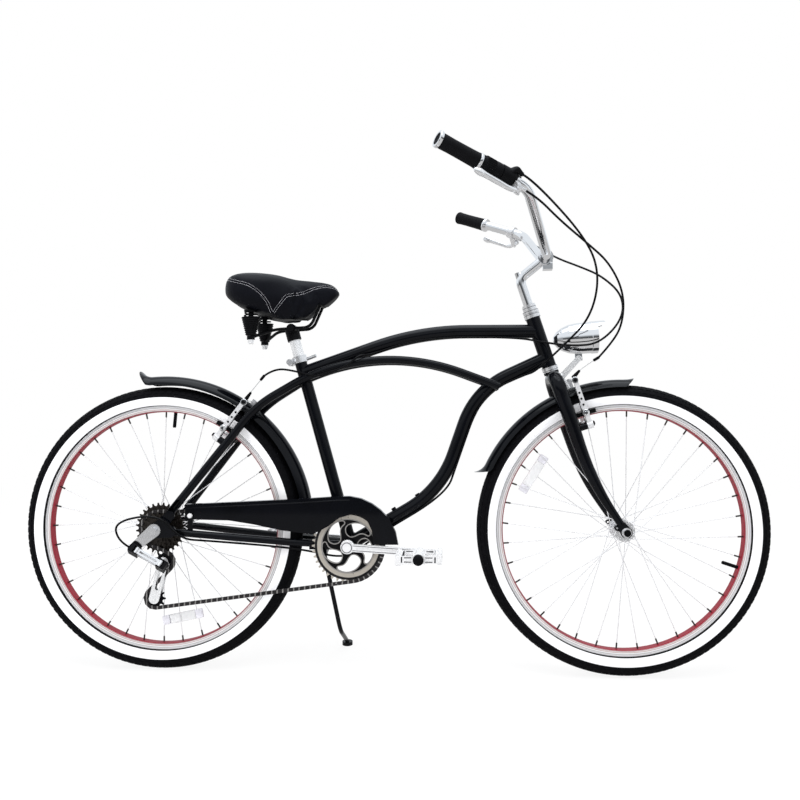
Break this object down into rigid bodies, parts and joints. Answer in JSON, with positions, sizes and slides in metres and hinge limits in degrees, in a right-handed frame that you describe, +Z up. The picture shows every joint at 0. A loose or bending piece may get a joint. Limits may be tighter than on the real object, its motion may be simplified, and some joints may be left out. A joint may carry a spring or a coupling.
{
  "type": "beach cruiser bicycle",
  "caption": "Black beach cruiser bicycle with a swept bar, sprung saddle, curved frame, whitewall tyres, mudguards, chain guard, derailleur gear, rim brakes, headlamp and side stand",
  "frame": {"origin": "on the ground, under the middle of the overall box", "axes": "X forward, Y to the rider's left, Z up; the bicycle leans on its stand, five degrees to its left"},
  "size_m": [1.7254, 0.7114, 1.1667],
  "materials": {
    "paint": "gloss black enamel",
    "rim_alloy": "pale alloy sides with a red inner bed",
    "tyre": "black tread and shoulder with a white sidewall band",
    "steel": "bright plated steel",
    "chain_steel": "dark oiled steel",
    "ring_steel": "warm pale plated steel",
    "alloy": "satin polished alloy",
    "chrome": "polished chrome plate",
    "black_metal": "satin black enamel",
    "black_plastic": "fine-grained black plastic",
    "grip": "soft black rubber",
    "cable": "black sheathed cable",
    "saddle": "black synthetic leather with pale stitching",
    "glass": "clear lens"
  },
  "bodies": {
    "frame": {"head_tube": "paint", "top_tube": "paint", "down_tube": "paint", "seat_tube": "paint", "bottom_bracket_shell": "paint", "stay_tubes": "paint", "chain_stays": "paint", "frame_fittings": "paint", "bearing_cups": "steel", "rear_mudguard": "paint", "chain_guard": "paint", "seat_clamp": "alloy", "rear_axle": "steel", "frame_cables": "cable", "chain": "chain_steel"},
    "steering": {"fork": "paint", "headset_nuts": "steel", "stem": "chrome", "handlebar": "chrome", "grips": "grip", "lever_brackets": "alloy", "shifter_housing": "black_plastic", "lamp_bracket": "steel", "front_mudguard": "paint", "front_axle": "steel", "front_brake_cable": "cable"},
    "front_wheel": {"front_tyre": "tyre", "front_rim": "rim_alloy", "front_spokes": "steel", "front_hub": "alloy"},
    "rear_wheel": {"rear_tyre": "tyre", "rear_rim": "rim_alloy", "rear_spokes": "steel", "rear_hub": "alloy", "freewheel": "chain_steel"},
    "crankset": {"chainring": "ring_steel", "chainring_spider": "black_metal", "cranks": "alloy"},
    "pedal_right": {"pedal_right": "alloy"},
    "pedal_left": {"pedal_left": "alloy"},
    "kickstand": {"kickstand_leg": "paint"},
    "lever_right": {"brake_lever_right": "alloy"},
    "lever_left": {"brake_lever_left": "alloy"},
    "front_brake_right": {"front_brake_arm_right": "alloy"},
    "front_brake_left": {"front_brake_arm_left": "alloy"},
    "rear_brake_right": {"rear_brake_arm_right": "alloy"},
    "rear_brake_left": {"rear_brake_arm_left": "alloy"},
    "shifter": {"shifter_grip": "grip"},
    "derailleur_outer": {"derailleur_outer_link": "alloy"},
    "derailleur_inner": {"derailleur_inner_link": "alloy"},
    "derailleur_knuckle": {"derailleur_knuckle": "black_metal"},
    "derailleur_cage": {"derailleur_cage": "steel"},
    "guide_pulley": {"guide_pulley": "black_plastic"},
    "tension_pulley": {"tension_pulley": "black_plastic"},
    "seatpost": {"seatpost": "alloy", "saddle_frame": "black_metal", "saddle_springs": "black_metal"},
    "saddle": {"saddle_cover": "saddle"},
    "lamp": {"lamp_shell": "chrome", "lamp_lens": "glass"}
  },
  "joints": [
    {"name": "steering", "type": "hinge", "parent": "frame", "child": "steering", "pos_m": [0.35275, -0.03756, 0.75721], "axis": [-0.314, 0.0827, 0.9458], "range_deg": [-55, 55], "deforming": ["frame_cables"]},
    {"name": "front_wheel_spin", "type": "hinge", "parent": "steering", "child": "front_wheel", "pos_m": [0.53275, -0.07504, 0.32885], "axis": [0, 0.9962, -0.0872], "continuous": true},
    {"name": "rear_wheel_spin", "type": "hinge", "parent": "frame", "child": "rear_wheel", "pos_m": [-0.53275, -0.07504, 0.32885], "axis": [0, 0.9962, -0.0872], "continuous": true},
    {"name": "crank_spin", "type": "hinge", "parent": "frame", "child": "crankset", "pos_m": [-0.09075, -0.07818, 0.29298], "axis": [0, 0.9962, -0.0872], "continuous": true, "deforming": ["chain"]},
    {"name": "pedal_right_spin", "type": "hinge", "parent": "crankset", "child": "pedal_right", "pos_m": [0.07396, -0.07903, 0.28324], "axis": [0, 0.9962, -0.0872], "continuous": true},
    {"name": "pedal_left_spin", "type": "hinge", "parent": "crankset", "child": "pedal_left", "pos_m": [-0.25546, -0.07732, 0.30273], "axis": [0, 0.9962, -0.0872], "continuous": true},
    {"name": "kickstand_fold", "type": "hinge", "parent": "frame", "child": "kickstand", "pos_m": [-0.16075, -0.04025, 0.26758], "axis": [0, 0.9962, -0.0872], "range_deg": [0, 85]},
    {"name": "lever_right_pull", "type": "hinge", "parent": "steering", "child": "lever_right", "pos_m": [0.27884, -0.2903, 1.05877], "axis": [-0.5442, 0.4773, -0.6899], "range_deg": [0, 14], "stiffness_Nm_per_rad": 2, "springref_deg": -6.88, "deforming": ["front_brake_cable"]},
    {"name": "lever_left_pull", "type": "hinge", "parent": "steering", "child": "lever_left", "pos_m": [0.31542, 0.25967, 1.02279], "axis": [0.6084, 0.4868, 0.6269], "range_deg": [0, 14], "stiffness_Nm_per_rad": 2, "springref_deg": -6.88},
    {"name": "front_brake_right_close", "type": "hinge", "parent": "steering", "child": "front_brake_right", "pos_m": [0.45754, -0.09392, 0.57194], "axis": [-0.9494, -0.0274, -0.3128], "range_deg": [-0.05, 2.7]},
    {"name": "front_brake_left_close", "type": "hinge", "parent": "steering", "child": "front_brake_left", "pos_m": [0.45754, -0.01423, 0.56497], "axis": [0.9494, 0.0274, 0.3128], "range_deg": [-0.05, 2.7]},
    {"name": "rear_brake_right_close", "type": "hinge", "parent": "frame", "child": "rear_brake_right", "pos_m": [-0.39815, -0.09635, 0.54422], "axis": [-0.784, 0.0541, 0.6184], "range_deg": [-0.05, 2.7]},
    {"name": "rear_brake_left_close", "type": "hinge", "parent": "frame", "child": "rear_brake_left", "pos_m": [-0.39815, -0.01665, 0.53725], "axis": [0.784, -0.0541, -0.6184], "range_deg": [-0.05, 2.7]},
    {"name": "shifter_twist", "type": "hinge", "parent": "steering", "child": "shifter", "pos_m": [0.12252, -0.3381, 1.14901], "axis": [0.833, 0.4048, -0.3771], "range_deg": [-70, 70]},
    {"name": "derailleur_outer_swing", "type": "hinge", "parent": "frame", "child": "derailleur_outer", "pos_m": [-0.57068, -0.1569, 0.29165], "axis": [0.4102, 0.574, 0.7087], "range_deg": [-12.2, 12.2]},
    {"name": "derailleur_inner_swing", "type": "hinge", "parent": "frame", "child": "derailleur_inner", "pos_m": [-0.57482, -0.143, 0.28278], "axis": [0.4102, 0.574, 0.7087], "range_deg": [-12.2, 12.2]},
    {"name": "derailleur_knuckle_swing", "type": "hinge", "parent": "derailleur_outer", "child": "derailleur_knuckle", "pos_m": [-0.51619, -0.15948, 0.26219], "axis": [0.4102, 0.574, 0.7087], "range_deg": [-12.2, 12.2]},
    {"name": "cage_tension", "type": "hinge", "parent": "derailleur_knuckle", "child": "derailleur_cage", "pos_m": [-0.51575, -0.12502, 0.25091], "axis": [0, 0.9962, -0.0872], "range_deg": [-8, 30], "stiffness_Nm_per_rad": 0.8, "springref_deg": -20.05},
    {"name": "guide_pulley_spin", "type": "hinge", "parent": "derailleur_cage", "child": "guide_pulley", "pos_m": [-0.51875, -0.12441, 0.25788], "axis": [0, 0.9962, -0.0872], "continuous": true},
    {"name": "tension_pulley_spin", "type": "hinge", "parent": "derailleur_cage", "child": "tension_pulley", "pos_m": [-0.53983, -0.13177, 0.17379], "axis": [0, 0.9962, -0.0872], "continuous": true},
    {"name": "seatpost_slide", "type": "slide", "parent": "frame", "child": "seatpost", "axis": [-0.2684, 0.084, 0.9596], "range_m": [-0.025, 0.06]},
    {"name": "saddle_flex", "type": "hinge", "parent": "seatpost", "child": "saddle", "pos_m": [-0.15875, -0.02963, 0.84786], "axis": [0, -0.9962, 0.0872], "range_deg": [0, 3], "stiffness_Nm_per_rad": 900, "deforming": ["saddle_springs"]},
    {"name": "lamp_tilt", "type": "hinge", "parent": "steering", "child": "lamp", "pos_m": [0.43844, -0.04083, 0.71988], "axis": [0, 0.9962, -0.0872], "range_deg": [-8, 12]}
  ],
  "couplings": [
    {"joint": "rear_wheel_spin", "follows": "crank_spin", "ratio": 2},
    {"joint": "guide_pulley_spin", "follows": "crank_spin", "ratio": -3.6364},
    {"joint": "tension_pulley_spin", "follows": "crank_spin", "ratio": 3.6364},
    {"joint": "front_brake_right_close", "follows": "lever_right_pull", "ratio": 0.18571},
    {"joint": "front_brake_left_close", "follows": "lever_right_pull", "ratio": 0.18571},
    {"joint": "rear_brake_right_close", "follows": "lever_left_pull", "ratio": 0.18571},
    {"joint": "rear_brake_left_close", "follows": "lever_left_pull", "ratio": 0.18571},
    {"joint": "derailleur_outer_swing", "follows": "shifter_twist", "ratio": 0.17143},
    {"joint": "derailleur_inner_swing", "follows": "shifter_twist", "ratio": 0.17143},
    {"joint": "derailleur_knuckle_swing", "follows": "shifter_twist", "ratio": -0.17143}
  ]
}
